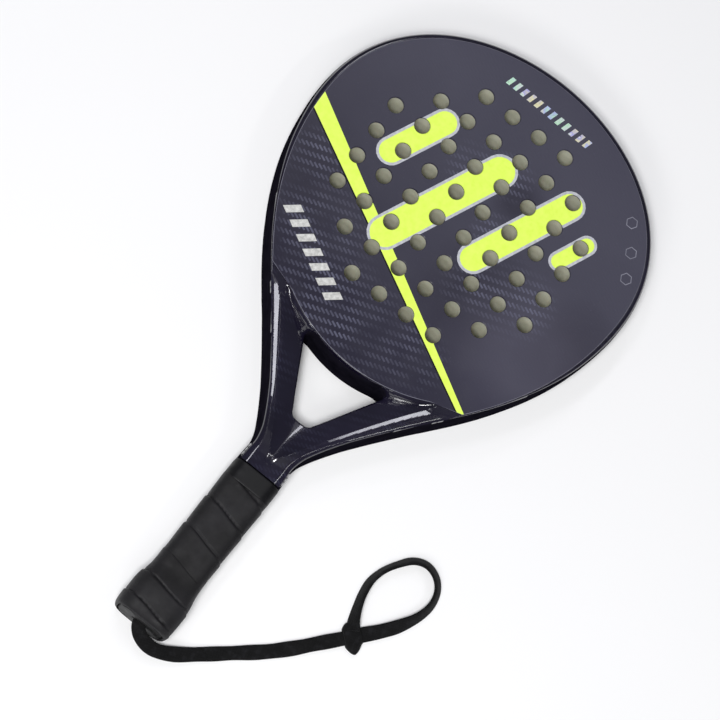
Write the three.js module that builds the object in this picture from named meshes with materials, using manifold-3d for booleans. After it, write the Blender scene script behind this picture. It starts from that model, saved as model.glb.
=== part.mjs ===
// A padel racket lying on its rear face, in millimetres.
// +Y runs from the handle to the tip, +X across the face, +Z out of the front face.
// The origin is the middle of the racket's box on the surface it lies on.

import * as THREE from 'three';
import { mergeVertices } from 'three/addons/utils/BufferGeometryUtils.js';
import Module from 'manifold-3d';

const wasm = await Module();
wasm.setup();

// Driving dimensions
const LENGTH = 455;
const HEAD_HALF_WIDTH = 126.3;
const WIDEST_Y = 120;
const THICKNESS = 38;
const MID_Z = THICKNESS / 2;
const GAP = 0.3;

// Head frame and faces
const TUBE_WIDTH = 16;
const TUBE_WALL = 1.6;
const RIM = 4.5;
const SKIN = 1.5;
const HEAD_CENTRE = new THREE.Vector2(0, 100);
const FACE_EDGE_RADIUS = 118;
const CORE_EDGE_RADIUS = 104;

// Drilled pattern: a square lattice whose corners are left out
const HOLE_PITCH = 21.8;
const HOLE_RADIUS = 5.4;
const HOLE_SIDES = 8;
const OUTLINE_STEPS = 11;
const HOLE_ROWS = 8;
const HOLE_LIMIT = 5;
const PATTERN_CENTRE = new THREE.Vector2(-3.1, 108.1);
const PATTERN_TURN = THREE.MathUtils.degToRad(1.55);

// Handle
const NECK_HALF_WIDTH = 16.9;
const NECK_Y = -96;
const LEG_TOP_Y = -107.5;
const LEG_END_Y = -212;
const LEG_HALF_WIDTH = 13.35;
const LEG_HALF_HEIGHT = 11.5;
const SHELL_HALF = [14.9, 13.6];
const GRIP_TOP_Y = -109;
const BUTT_Y = -LENGTH / 2;
const GRIP_THICKNESS = 1.7;
const COLLAR_WIDTH = 13;

// Wrist strap, its sewn eye and the slot it leaves by
const STRAP_WIDTH = 10;
const STRAP_THICKNESS = 2.4;
const STRAP_STEPS = 56;
const SLOT = [12, 3.6];
const EYE_AT = new THREE.Vector3(112, -146.5, 0);
const EYE_ANGLE = THREE.MathUtils.degToRad(49.5);
const EYE_LENGTH = 10;

// The strap's middle line from the knot inside the butt to its end sewn to the eye: x, y, z and
// the strap's roll in degrees, 0 where it lies flat and 90 where it stands on edge
const STRAP_ROUTE = [
  [0, -223.9, 19, 0], [0, -229, 19, 0], [3.2, -233.2, 17.8, 0], [9.4, -235, 15, 0],
  [16, -234.4, 11.6, 0], [22.6, -231.8, 8.6, 0], [29.2, -227.6, 6.2, 0], [36, -222.2, 4.2, 0],
  [46, -213.6, 2.4, 0], [59.4, -201.8, 1.6, 0], [74.8, -188.3, 1.6, 0], [87.3, -175.4, 2.2, 0],
  [96.4, -164.7, 2.8, 0], [105.5, -154.1, 3.1, 0], [112, -146.5, 3.1, 0], [118.5, -138.9, 3.1, 0],
  [124.3, -132.1, 3.1, 0], [131.6, -122, 3.6, 12], [137.6, -110.2, 4.8, 38], [139.8, -99.2, 5.4, 62],
  [137.6, -89.4, 5.4, 72], [131.4, -82.4, 5.4, 74], [122.4, -79.8, 5.4, 75], [113.6, -83.2, 5.4, 75],
  [107.2, -90.9, 5.4, 73], [101.9, -100.2, 5.4, 72], [99.3, -110.4, 5.4, 70], [100.2, -120.6, 5.3, 66],
  [102.8, -129.8, 5.2, 60], [106.1, -138.6, 5, 52],
];

// Half of the racket's outline, tip to handle, as three cubic curves
const TIP_CURVE = cubic([0, LENGTH / 2], [63, LENGTH / 2], [HEAD_HALF_WIDTH, 190], [HEAD_HALF_WIDTH, WIDEST_Y]);
const FLANK_CURVE = cubic([HEAD_HALF_WIDTH, WIDEST_Y], [HEAD_HALF_WIDTH, 47], [82.4, 2.5], [61.5, -25.3]);
const ARM_CURVE = cubic([61.5, -25.3], [43.5, -49.3], [NECK_HALF_WIDTH, -84], [NECK_HALF_WIDTH, NECK_Y]);
const HOOP_END = 0.85;

function cubic(...points) {
  return new THREE.CubicBezierCurve(...points.map(([x, y]) => new THREE.Vector2(x, y)));
}

function material(color, roughness, metalness = 0) {
  return new THREE.MeshStandardMaterial({ color, roughness, metalness });
}

const LACQUER = material(0x17152a, 0.22);
const FACE = material(0x2b2b3c, 0.35);
const FOAM = material(0x9c9c8c, 0.9);
const LAMINATE = material(0x1b1b1f, 0.5);
const WRAP = material(0x141416, 0.7);
const TAPE = material(0x1a1a1c, 0.55);
const PLASTIC = material(0x101012, 0.45);
const STEEL = material(0xb8b8bc, 0.35, 1);
const WEBBING = material(0x0e0e10, 0.85);

// A closed body through a row of rings of points; with inner rings it is a pipe open at both ends
function loft(outer, inner) {
  const rings = inner ? [...outer, ...inner] : outer;
  const count = outer[0].length;
  const last = outer.length - 1;
  const index = [];
  const quad = (a, b, c, d) => index.push(a, b, c, a, c, d);
  const walls = (first, flip) => {
    for (let k = 0; k < last; k += 1) {
      for (let i = 0; i < count; i += 1) {
        const j = (i + 1) % count;
        const near = (first + k) * count;
        const far = near + count;
        if (flip) quad(near + i, far + i, far + j, near + j);
        else quad(near + i, near + j, far + j, far + i);
      }
    }
  };
  walls(0, false);
  if (inner) {
    const cavity = outer.length;
    walls(cavity, true);
    for (let i = 0; i < count; i += 1) {
      const j = (i + 1) % count;
      quad(j, i, cavity * count + i, cavity * count + j);
      quad(last * count + i, last * count + j, (cavity + last) * count + j, (cavity + last) * count + i);
    }
  } else {
    for (let i = 1; i < count - 1; i += 1) {
      index.push(0, i + 1, i);
      index.push(last * count, last * count + i, last * count + i + 1);
    }
  }
  const geometry = new THREE.BufferGeometry();
  geometry.setAttribute('position', new THREE.Float32BufferAttribute(rings.flat().flatMap((p) => p.toArray()), 3));
  geometry.setIndex(index);
  if (signedVolume(geometry) < 0) {
    for (let i = 0; i < index.length; i += 3) [index[i + 1], index[i + 2]] = [index[i + 2], index[i + 1]];
    geometry.setIndex(index);
  }
  geometry.computeVertexNormals();
  return geometry;
}

function signedVolume(geometry) {
  const position = geometry.getAttribute('position');
  const index = geometry.getIndex();
  const [a, b, c] = [new THREE.Vector3(), new THREE.Vector3(), new THREE.Vector3()];
  let volume = 0;
  for (let i = 0; i < index.count; i += 3) {
    a.fromBufferAttribute(position, index.getX(i));
    b.fromBufferAttribute(position, index.getX(i + 1));
    c.fromBufferAttribute(position, index.getX(i + 2));
    volume += a.dot(b.cross(c)) / 6;
  }
  return volume;
}

function solid(geometry) {
  const bare = geometry.clone();
  bare.deleteAttribute('normal');
  bare.deleteAttribute('uv');
  const merged = mergeVertices(bare, 1e-4);
  return new wasm.Manifold(new wasm.Mesh({
    numProp: 3,
    vertProperties: new Float32Array(merged.getAttribute('position').array),
    triVerts: new Uint32Array(merged.getIndex().array),
  }));
}

function fromSolid(body) {
  const mesh = body.getMesh();
  const geometry = new THREE.BufferGeometry();
  geometry.setAttribute('position', new THREE.BufferAttribute(mesh.vertProperties, 3));
  geometry.setIndex(new THREE.BufferAttribute(mesh.triVerts, 1));
  geometry.computeVertexNormals();
  return geometry;
}

function prism(shape, low, high) {
  const geometry = new THREE.ExtrudeGeometry(shape, { depth: high - low, bevelEnabled: false, curveSegments: 6 });
  return geometry.translate(0, 0, low);
}

const mirror = (points) => points.map((p) => new THREE.Vector2(-p.x, p.y)).reverse();

// Points of one curve of the right half, moved inwards by inset
function insetPoints(curve, steps, inset, from = 0, to = 1) {
  return Array.from({ length: steps + 1 }, (_, k) => {
    const t = from + ((to - from) * k) / steps;
    const tangent = curve.getTangent(t);
    return curve.getPoint(t).add(new THREE.Vector2(tangent.y, -tangent.x).multiplyScalar(inset));
  });
}

// The head's right side from the tip down to the hoop's end, moved inwards
function headSide(inset, end = HOOP_END) {
  const flank = insetPoints(FLANK_CURVE, OUTLINE_STEPS, inset, 0, end);
  return [...insetPoints(TIP_CURVE, OUTLINE_STEPS, inset), ...flank.slice(1)];
}

function arcPoints(radius, halfAngle, steps) {
  return Array.from({ length: steps + 1 }, (_, k) => {
    const angle = halfAngle * (1 - (2 * k) / steps);
    return new THREE.Vector2(Math.sin(angle), -Math.cos(angle)).multiplyScalar(radius).add(HEAD_CENTRE);
  });
}

function holeCentres() {
  const centres = [];
  for (let column = 0; column < HOLE_ROWS; column += 1) {
    for (let row = 0; row < HOLE_ROWS; row += 1) {
      const a = column - (HOLE_ROWS - 1) / 2;
      const b = row - (HOLE_ROWS - 1) / 2;
      if (Math.abs(a) + Math.abs(b) <= HOLE_LIMIT) {
        const offset = new THREE.Vector2(a, b).multiplyScalar(HOLE_PITCH);
        centres.push(offset.rotateAround(new THREE.Vector2(), PATTERN_TURN).add(PATTERN_CENTRE));
      }
    }
  }
  return centres;
}

function drilledShape(points) {
  const shape = new THREE.Shape(points);
  for (const centre of holeCentres()) {
    const rim = Array.from({ length: HOLE_SIDES }, (_, k) => {
      const angle = (2 * Math.PI * k) / HOLE_SIDES;
      return new THREE.Vector2(centre.x + HOLE_RADIUS * Math.cos(angle), centre.y + HOLE_RADIUS * Math.sin(angle));
    });
    shape.holes.push(new THREE.Path(rim));
  }
  return shape;
}

// The moulded tube round the head; its skins' seats are the steps RIM in from the edge
function hoopSection(station, inner) {
  const seat = THICKNESS - SKIN - GAP;
  const outline = [[0, 6], [0, 32], [1.4, 36], [RIM, THICKNESS], [RIM, seat], [TUBE_WIDTH, seat],
    [TUBE_WIDTH, THICKNESS - seat], [RIM, THICKNESS - seat], [RIM, 0], [1.4, 2]];
  const cavity = [[1.6, 7], [1.6, 31], [2.8, 34], [5.4, 34.6], [6.6, 34.6], [TUBE_WIDTH - TUBE_WALL, 34.6],
    [TUBE_WIDTH - TUBE_WALL, 3.4], [6.6, 3.4], [5.4, 3.4], [2.8, 4]];
  return (inner ? cavity : outline).map(([t, z]) => {
    const p = station.at.clone().addScaledVector(station.inward, t);
    return new THREE.Vector3(p.x, p.y, z);
  });
}

function frameHoop() {
  const flank = stations(FLANK_CURVE, OUTLINE_STEPS, 0, HOOP_END);
  const right = [...stations(TIP_CURVE, OUTLINE_STEPS, 0, 1), ...flank.slice(1)];
  const left = right.slice(1).reverse().map(({ at, inward }) => ({
    at: new THREE.Vector2(-at.x, at.y),
    inward: new THREE.Vector2(-inward.x, inward.y),
  }));
  const all = [...left, ...right];
  return loft(all.map((s) => hoopSection(s, false)), all.map((s) => hoopSection(s, true)));
}

function stations(curve, steps, from, to) {
  const at = insetPoints(curve, steps, 0, from, to);
  const inset = insetPoints(curve, steps, 1, from, to);
  return at.map((p, k) => ({ at: p, inward: inset[k].clone().sub(p) }));
}

// The arm's stations: where on the outline, the ridge, the inner edge, half the height and the
// recess depth at the inner edge
const ARM_STATIONS = [
  [FLANK_CURVE, HOOP_END + 0.0025, [61.6, -3.6], [59.7, -2.2], 19, 0.6],
  [FLANK_CURVE, 0.93, [55.0, -9.5], [47.8, -10.9], 19, 3],
  [FLANK_CURVE, 1, [47.2, -21.6], [37.2, -18.6], 19, 5],
  [ARM_CURVE, 0.1, [42.2, -28.6], [28.9, -24.8], 19, 6],
  [ARM_CURVE, 0.25, [36.4, -38.5], [24.6, -33], 19, 6],
  [ARM_CURVE, 0.4, [30.8, -48.8], [19.2, -43], 19, 6],
  [ARM_CURVE, 0.55, [25.6, -58.8], [13.9, -53], 19, 6],
  [ARM_CURVE, 0.68, [20.8, -67.6], [8.6, -62.8], 18.8, 6],
  [ARM_CURVE, 0.78, [16.6, -74.2], [6.6, -69.2], 18.4, 5.5],
  [ARM_CURVE, 0.88, [11.6, -82.4], [3.4, -79.2], 17.8, 4],
  [ARM_CURVE, 0.95, [6.6, -89.2], [0.9, -88.4], 17, 2],
  [ARM_CURVE, 1, [3.0, -95], [0.2, -95], 16.2, 0.4],
];

function armSection(outer, ridge, inner, half, drop, side, hollow) {
  const across = inner.clone().sub(outer);
  const width = across.length();
  across.normalize();
  const crest = Math.min(ridge.clone().sub(outer).dot(across), width - 2);
  const wall = hollow ? TUBE_WALL : 0;
  const upper = [
    [wall, half - 6 - wall / 2],
    [1.4 + wall, half - 2 - wall],
    [RIM + wall / 3, half - wall],
    [crest, half - wall],
    [width - wall, half - drop - wall],
  ];
  const lower = upper.map(([t, h]) => [t, -h]).reverse();
  return [...upper, ...lower].map(([t, h]) => {
    const p = outer.clone().addScaledVector(across, t);
    return new THREE.Vector3(side * p.x, p.y, MID_Z + h);
  });
}

function frameArm(side) {
  const legStations = [[NECK_HALF_WIDTH, LEG_TOP_Y + 1.5, 15.5], [LEG_HALF_WIDTH, LEG_TOP_Y, LEG_HALF_HEIGHT],
    [LEG_HALF_WIDTH, LEG_END_Y, LEG_HALF_HEIGHT]];
  const rows = ARM_STATIONS.map(([curve, t, ridge, inner, half, drop]) => (
    [curve.getPoint(t), new THREE.Vector2(...ridge), new THREE.Vector2(...inner), half, drop]));
  for (const [x, y, half] of legStations) {
    rows.push([new THREE.Vector2(x, y), new THREE.Vector2(2.6, y), new THREE.Vector2(0.2, y), half, 0.4]);
  }
  const rings = (hollow) => rows.map((row) => armSection(...row, side, hollow));
  return loft(rings(false), rings(true));
}

// The bridge: a band of the head's circle between the arms, with a rounded nose into the opening
function throatBridge() {
  const nose = FACE_EDGE_RADIUS + 8.4;
  const seat = THICKNESS - SKIN - GAP;
  const profile = [[CORE_EDGE_RADIUS + GAP, THICKNESS - seat], [FACE_EDGE_RADIUS + GAP, THICKNESS - seat],
    [FACE_EDGE_RADIUS + GAP, 0], [FACE_EDGE_RADIUS + 1.6, 0], [nose - 1.6, 6], [nose, MID_Z], [nose - 1.6, 32],
    [FACE_EDGE_RADIUS + 1.6, THICKNESS], [FACE_EDGE_RADIUS + GAP, THICKNESS], [FACE_EDGE_RADIUS + GAP, seat],
    [CORE_EDGE_RADIUS + GAP, seat], [CORE_EDGE_RADIUS + GAP, THICKNESS - seat]];
  const ring = new THREE.LatheGeometry(profile.map(([r, z]) => new THREE.Vector2(r, z)), 96);
  ring.rotateX(Math.PI / 2);
  ring.translate(HEAD_CENTRE.x, HEAD_CENTRE.y, 0);
  const inside = insetPoints(FLANK_CURVE, 6, TUBE_WIDTH + GAP, 0.6, HOOP_END);
  const right = [...inside, new THREE.Vector2(28.4, -24.4), new THREE.Vector2(28.4, -32)];
  const window = new THREE.Shape([...right, ...mirror(right)]);
  return fromSolid(solid(ring).intersect(solid(prism(window, -1, THICKNESS + 1))));
}

// The wedge bonded in the fork below the opening
function throatWedge() {
  const ring = (half, y, height) => [[-half, height], [half, height], [half, -height], [-half, -height]]
    .map(([x, h]) => new THREE.Vector3(x, y, MID_Z + h));
  return loft([ring(7.2, -66, 12.6), ring(5.9, -69.6, 12.9), ring(0.45, -88, 14.6)]);
}

function foamCore() {
  const side = headSide(TUBE_WIDTH + GAP, 0.72).filter((p) => (
    p.y > HEAD_CENTRE.y || p.distanceTo(HEAD_CENTRE) < CORE_EDGE_RADIUS - 1));
  const end = side[side.length - 1];
  const halfAngle = Math.atan2(end.x, HEAD_CENTRE.y - end.y) * 0.96;
  const shape = drilledShape([...mirror(side).slice(0, -1), ...side, ...arcPoints(CORE_EDGE_RADIUS, halfAngle, 22)]);
  return prism(shape, SKIN + 2 * GAP, THICKNESS - SKIN - 2 * GAP);
}

function faceSkin(low) {
  const side = headSide(RIM + GAP);
  const halfAngle = Math.asin(56.5 / FACE_EDGE_RADIUS);
  const corner = new THREE.Vector2(60.6, -1.8);
  const bottom = [corner, ...arcPoints(FACE_EDGE_RADIUS, halfAngle, 18), ...mirror([corner])];
  return prism(drilledShape([...mirror(side).slice(0, -1), ...side, ...bottom]), low, low + SKIN);
}

// A ring of the handle's section: a rounded oblong, wide in X and high in Z
function handleRing([halfWidth, halfHeight], y) {
  const corner = Math.min(halfWidth, halfHeight) * 0.46;
  const bend = corner * (1 - Math.SQRT1_2);
  const quarter = [[halfWidth, halfHeight - corner], [halfWidth - bend, halfHeight - bend], [halfWidth - corner, halfHeight]];
  const flip = (points, sx, sz) => points.map(([x, z]) => [sx * x, sz * z]);
  const ring = [...quarter, ...flip(quarter, -1, 1).reverse(), ...flip(quarter, -1, -1), ...flip(quarter, 1, -1).reverse()];
  return ring.map(([x, z]) => new THREE.Vector3(x, y, MID_Z + z));
}

const grow = ([a, b], by) => [a + by, b + by];

function handleShell() {
  const inner = grow(SHELL_HALF, -1.2);
  const rings = (half) => [handleRing(half, GRIP_TOP_Y), handleRing(half, LEG_END_Y)];
  return loft(rings(SHELL_HALF), rings(inner));
}

// Half sizes of the butt cap's outside along the handle
const CAP_PROFILE = [[-197, 0.9], [-203, 2.7], [-209, 3.1], [-224.5, 3.3], [BUTT_Y, 2.2]];
const CAP_CAVITY_END = -224.5;

function staple(side, clearance) {
  const wire = 1.2 + 2 * clearance;
  const x = SHELL_HALF[0] + 2.9;
  const span = 8;
  const box = (width, height, cx, cz) => {
    const geometry = new THREE.BoxGeometry(width, wire, height);
    return solid(geometry.translate(side * cx, -205, MID_Z + cz));
  };
  const crown = box(wire, span + wire, x - wire / 2 + clearance, 0);
  const leg = (cz) => box(4 + clearance, wire, x - 2 + clearance / 2, cz);
  return crown.add(leg(span / 2)).add(leg(-span / 2));
}

function buttCap() {
  const outer = solid(loft(CAP_PROFILE.map(([y, by]) => handleRing(grow(SHELL_HALF, by), y))));
  const bore = grow(SHELL_HALF, GAP);
  const cavity = solid(loft([handleRing(bore, -190), handleRing(bore, CAP_CAVITY_END)]));
  const slot = solid(new THREE.BoxGeometry(SLOT[0], 12, SLOT[1]).translate(0, BUTT_Y, MID_Z));
  const bored = outer.subtract(cavity).subtract(slot);
  return fromSolid(bored.subtract(staple(1, GAP)).subtract(staple(-1, GAP)));
}

function stapledShell() {
  return fromSolid(solid(handleShell()).subtract(staple(1, GAP)).subtract(staple(-1, GAP)));
}

// The wound grip, a sleeve from the tape to the butt that swells over the cap
function gripWrap() {
  const start = GRIP_TOP_Y - COLLAR_WIDTH - GAP;
  const [[skirtY, skirtBy], ...swelling] = CAP_PROFILE;
  const end = [BUTT_Y + 1.6, 2.95];
  const under = [[start, 0], [skirtY + 4, 0], [skirtY + 1, skirtBy], ...swelling.slice(0, -1), end];
  const rings = (by) => under.map(([y, swell]) => handleRing(grow(SHELL_HALF, swell + by), y));
  return loft(rings(GAP + GRIP_THICKNESS), rings(GAP));
}

function gripCollar() {
  const rings = (by) => [GRIP_TOP_Y, GRIP_TOP_Y - COLLAR_WIDTH].map((y) => handleRing(grow(SHELL_HALF, by), y));
  return loft(rings(GAP + GRIP_THICKNESS + 0.6), rings(GAP));
}

// The knot that holds the strap inside the butt
function strapKnot() {
  const knot = new THREE.SphereGeometry(1, 12, 8).scale(8, 5.2, 6.5);
  return knot.translate(0, -218.3, MID_Z);
}

// The strap's path, which carries its own roll instead of a free frame
class StrapPath extends THREE.CatmullRomCurve3 {
  rollAt(u) {
    const place = this.getUtoTmapping(u) * (STRAP_ROUTE.length - 1);
    const from = Math.min(Math.floor(place), STRAP_ROUTE.length - 2);
    return THREE.MathUtils.degToRad(THREE.MathUtils.lerp(STRAP_ROUTE[from][3], STRAP_ROUTE[from + 1][3], place - from));
  }

  computeFrenetFrames(segments) {
    const frames = { tangents: [], normals: [], binormals: [] };
    for (let k = 0; k <= segments; k += 1) {
      const tangent = this.getTangentAt(k / segments);
      const side = new THREE.Vector3().crossVectors(tangent, new THREE.Vector3(0, 0, 1)).normalize();
      const width = side.applyAxisAngle(tangent, this.rollAt(k / segments));
      frames.tangents.push(tangent);
      frames.binormals.push(width);
      frames.normals.push(new THREE.Vector3().crossVectors(width, tangent));
    }
    return frames;
  }
}

function wristStrap() {
  const [w, h] = [STRAP_WIDTH / 2, STRAP_THICKNESS / 2];
  const section = new THREE.Shape([[-h, -w + 1], [-h + 0.8, -w], [h - 0.8, -w], [h, -w + 1],
    [h, w - 1], [h - 0.8, w], [-h + 0.8, w], [-h, w - 1]].map(([x, y]) => new THREE.Vector2(x, y)));
  const route = new StrapPath(STRAP_ROUTE.map(([x, y, z]) => new THREE.Vector3(x, y, z)));
  return new THREE.ExtrudeGeometry(section, { steps: STRAP_STEPS, extrudePath: route });
}

// The strap's end sewn round the strap as a running eye, hollow along its own +Z before it is laid down
function strapEye() {
  const block = new THREE.Shape();
  const [w, h] = [7.6, 3.1];
  block.moveTo(-w + 1.6, -h).lineTo(w - 1.6, -h).quadraticCurveTo(w, -h, w, -h + 1.6).lineTo(w, h - 1.6);
  block.quadraticCurveTo(w, h, w - 1.6, h).lineTo(-w + 1.6, h).quadraticCurveTo(-w, h, -w, h - 1.6);
  block.lineTo(-w, -h + 1.6).quadraticCurveTo(-w, -h, -w + 1.6, -h);
  const [a, b] = [STRAP_WIDTH / 2 + 0.6, STRAP_THICKNESS / 2 + 0.5];
  block.holes.push(new THREE.Path([[-a, -b], [-a, b], [a, b], [a, -b]].map(([x, y]) => new THREE.Vector2(x, y))));
  const geometry = new THREE.ExtrudeGeometry(block, { depth: EYE_LENGTH, bevelEnabled: false, curveSegments: 3 });
  geometry.translate(0, 0, -EYE_LENGTH / 2);
  return geometry.rotateX(Math.PI / 2);
}

const racket = new THREE.Group();

function add(name, geometry, finish, parent = racket) {
  const mesh = new THREE.Mesh(geometry, finish);
  mesh.name = name;
  parent.add(mesh);
  return mesh;
}

add('frame_hoop', frameHoop(), LACQUER);
add('arm_right', frameArm(1), LACQUER);
add('arm_left', frameArm(-1), LACQUER);
add('throat_bridge', throatBridge(), LACQUER);
add('throat_wedge', throatWedge(), LACQUER);
add('foam_core', foamCore(), FOAM);
add('front_face', faceSkin(THICKNESS - SKIN), FACE);
add('rear_face', faceSkin(0), FACE);
add('handle_shell', stapledShell(), LAMINATE);
add('butt_cap', buttCap(), PLASTIC);
add('staple_right', fromSolid(staple(1, 0)), STEEL);
add('staple_left', fromSolid(staple(-1, 0)), STEEL);
add('grip_wrap', gripWrap(), WRAP);
add('grip_collar', gripCollar(), TAPE);
add('strap_knot', strapKnot(), WEBBING);
add('wrist_strap', wristStrap(), WEBBING);

const eye = new THREE.Group();
eye.position.copy(EYE_AT).setZ(3.1);
eye.rotation.z = EYE_ANGLE - Math.PI / 2;
racket.add(eye);
add('strap_eye', strapEye(), WEBBING, eye);

export default racket;
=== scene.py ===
import math

import bmesh
import bpy
import numpy as np
from mathutils import Matrix, Vector
from mathutils.geometry import delaunay_2d_cdt


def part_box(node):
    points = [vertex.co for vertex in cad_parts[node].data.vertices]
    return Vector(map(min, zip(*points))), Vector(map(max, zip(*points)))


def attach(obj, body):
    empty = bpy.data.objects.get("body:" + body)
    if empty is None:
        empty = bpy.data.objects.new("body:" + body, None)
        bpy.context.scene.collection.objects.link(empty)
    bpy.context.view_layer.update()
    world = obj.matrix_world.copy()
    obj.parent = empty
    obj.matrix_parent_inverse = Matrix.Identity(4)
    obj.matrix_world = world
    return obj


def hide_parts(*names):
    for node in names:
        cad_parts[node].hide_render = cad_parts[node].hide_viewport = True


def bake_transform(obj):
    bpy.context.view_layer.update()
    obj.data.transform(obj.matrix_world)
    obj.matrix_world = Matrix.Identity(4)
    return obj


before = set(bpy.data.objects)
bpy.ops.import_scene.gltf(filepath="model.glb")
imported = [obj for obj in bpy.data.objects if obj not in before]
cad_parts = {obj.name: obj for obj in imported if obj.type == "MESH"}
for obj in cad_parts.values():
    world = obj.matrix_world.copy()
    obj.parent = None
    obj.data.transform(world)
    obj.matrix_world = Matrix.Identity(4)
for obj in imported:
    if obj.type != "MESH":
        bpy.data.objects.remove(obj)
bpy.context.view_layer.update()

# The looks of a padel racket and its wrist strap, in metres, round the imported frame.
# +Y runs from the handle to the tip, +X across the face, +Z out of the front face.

RACKET = "racket"
EYE_BODY = "running_eye"

# ---------------------------------------------------------------- sizes taken from the frame
HOOP_LOW, HOOP_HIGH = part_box("frame_hoop")
TIP_Y = HOOP_HIGH.y
HEAD_HALF = HOOP_HIGH.x
THICKNESS = HOOP_HIGH.z - HOOP_LOW.z
MID_Z = THICKNESS / 2
BUTT_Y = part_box("butt_cap")[0].y
COLLAR_LOW, COLLAR_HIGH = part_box("grip_collar")
GRIP_END = BUTT_Y + 0.0001
EYE_LOW, EYE_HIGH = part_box("strap_eye")
CORE_LOW, CORE_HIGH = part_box("foam_core")
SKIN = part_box("rear_face")[1].z

# ---------------------------------------------------------------- driving sizes of the looks
RIM = 0.0045
RIM_DROP = 0.0060
SIDE_BULGE = 0.0017
SEAT_DEPTH = 0.0018
TUBE_WIDTH = 0.016
HEAD_CENTRE = np.array((0.0, 0.100))
FACE_EDGE_RADIUS = 0.118
CORE_EDGE_RADIUS = 0.1043
NOSE_Y = -0.0209
NOSE_BEND = 6.2
NOSE_LEAD = 0.0010
NECK_HALF = 0.0169
NECK_Y = -0.096
NECK_END = COLLAR_HIGH.y + 0.0002
RECESS_SLOPE = 0.47
BEVEL_SLOPE = 0.20
# Along Y, how far inside the frame's outline the flanks run
FLANK_INSET = ((NECK_END, -0.098, -0.085, -0.060, -0.010, 0.030, 0.070, 0.110),
               (0.0, 0.0004, 0.0022, 0.0032, 0.0032, 0.0028, 0.0012, 0.0))
# Along Y, how wide the arms' outer and inner bevels are, and where the outer one steepens
OUTER_WIDTH = ((-0.100, -0.060, -0.025, -0.013, -0.006, -0.0015),
               (0.002, 0.0042, 0.0050, 0.0060, 0.0056, 0.002))
INNER_WIDTH = ((-0.096, -0.060, -0.020, -0.009, -0.004), (0.0005, 0.0024, 0.0034, 0.0040, 0.0))
OUTER_BREAK = 0.0021
OUTER_BREAK_SLOPE = 0.46
OPENING_EASE = 0.0014
BULGE_DROP = 0.0065
# Faces of the frame steeper than this, by the Z of their normal, have the matt side coat
SIDE_STEEPNESS = 0.30

# Half of the racket's outline, tip to neck, as three cubic curves
TIP_CURVE = ((0, TIP_Y), (0.063, TIP_Y), (HEAD_HALF, 0.190), (HEAD_HALF, 0.120))
FLANK_CURVE = ((HEAD_HALF, 0.120), (HEAD_HALF, 0.047), (0.0824, 0.0025), (0.0615, -0.0253))
ARM_CURVE = ((0.0615, -0.0253), (0.0435, -0.0493), (NECK_HALF, -0.084), (NECK_HALF, NECK_Y))
FACE_CORNER = np.array((0.0606, -0.0018))
# The raised edge of the right arm, from the face's corner down to the fork
RIDGE_CURVE = ((0.062, -0.003), (0.0386, -0.0337), (0.0215, -0.0643), (0.003, -0.095))

# The drilled pattern: a square lattice without its corners
HOLE_PITCH = 0.0218
HOLE_RADIUS = 0.0054
HOLE_ROWS = 8
HOLE_LIMIT = 5
PATTERN_CENTRE = np.array((-0.0031, 0.1081))
PATTERN_TURN = math.radians(1.55)
HOLE_EASE = 0.0003

# The handle's half width and half height under the grip
SHELL_HALF = (0.0149, 0.0136)
GRIP_CLEAR = 0.0003
GRIP_THICKNESS = 0.0017
GRIP_SEAMS = (-0.1024, -0.1224, -0.1427, -0.1650, -0.1850, -0.2038, -0.2200, -0.2400)
CAP_PROFILE = ((-0.197, 0.0009), (-0.203, 0.0027), (-0.209, 0.0031), (-0.2245, 0.0033), (BUTT_Y, 0.0022))

# The wrist strap: a flat strap's middle line from the knot to its sewn end, x, y, z and the
# roll in degrees, 0 where it lies flat and 90 where it stands on edge. Scratch scripts measured
# the places on the photograph and solved for the loop's rolls, so they aren't chosen by hand
STRAP_WIDTH = 0.010
STRAP_THICKNESS = 0.0024
STRAP_ROUTE = (
    (0, -0.2239, 0.019, 0), (0.0004, -0.2284, 0.0188, 0), (0.0042, -0.2324, 0.0174, 0),
    (0.0100, -0.2342, 0.0148, 0), (0.0163, -0.234, 0.0116, 0), (0.0227, -0.2316, 0.0086, 0),
    (0.0292, -0.2276, 0.0062, 0), (0.036, -0.2222, 0.0042, 0), (0.046, -0.2136, 0.0024, 0),
    (0.0594, -0.2018, 0.0016, 0), (0.0748, -0.1883, 0.0016, 0), (0.0873, -0.1754, 0.0022, 0),
    (0.0964, -0.1647, 0.0028, 0), (0.1055, -0.1541, 0.0031, 0), (0.112, -0.1465, 0.0031, 0),
    (0.1185, -0.1389, 0.0031, 2), (0.1243, -0.1321, 0.0033, 12), (0.1316, -0.122, 0.0040, 32),
    (0.1376, -0.1102, 0.0051, 52), (0.1398, -0.0992, 0.0055, 60), (0.1376, -0.0894, 0.0055, 59),
    (0.1314, -0.0824, 0.0055, 55), (0.1224, -0.0798, 0.0055, 54), (0.1136, -0.0832, 0.0055, 58),
    (0.1072, -0.0909, 0.0055, 65), (0.1019, -0.1002, 0.0055, 68), (0.0993, -0.1104, 0.0055, 67),
    (0.1002, -0.1206, 0.0055, 66), (0.1028, -0.1298, 0.0055, 63), (0.1058, -0.1374, 0.0056, 52),
    (0.1078, -0.1412, 0.0060, 34), (0.1096, -0.1440, 0.0062, 16),
)


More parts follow.
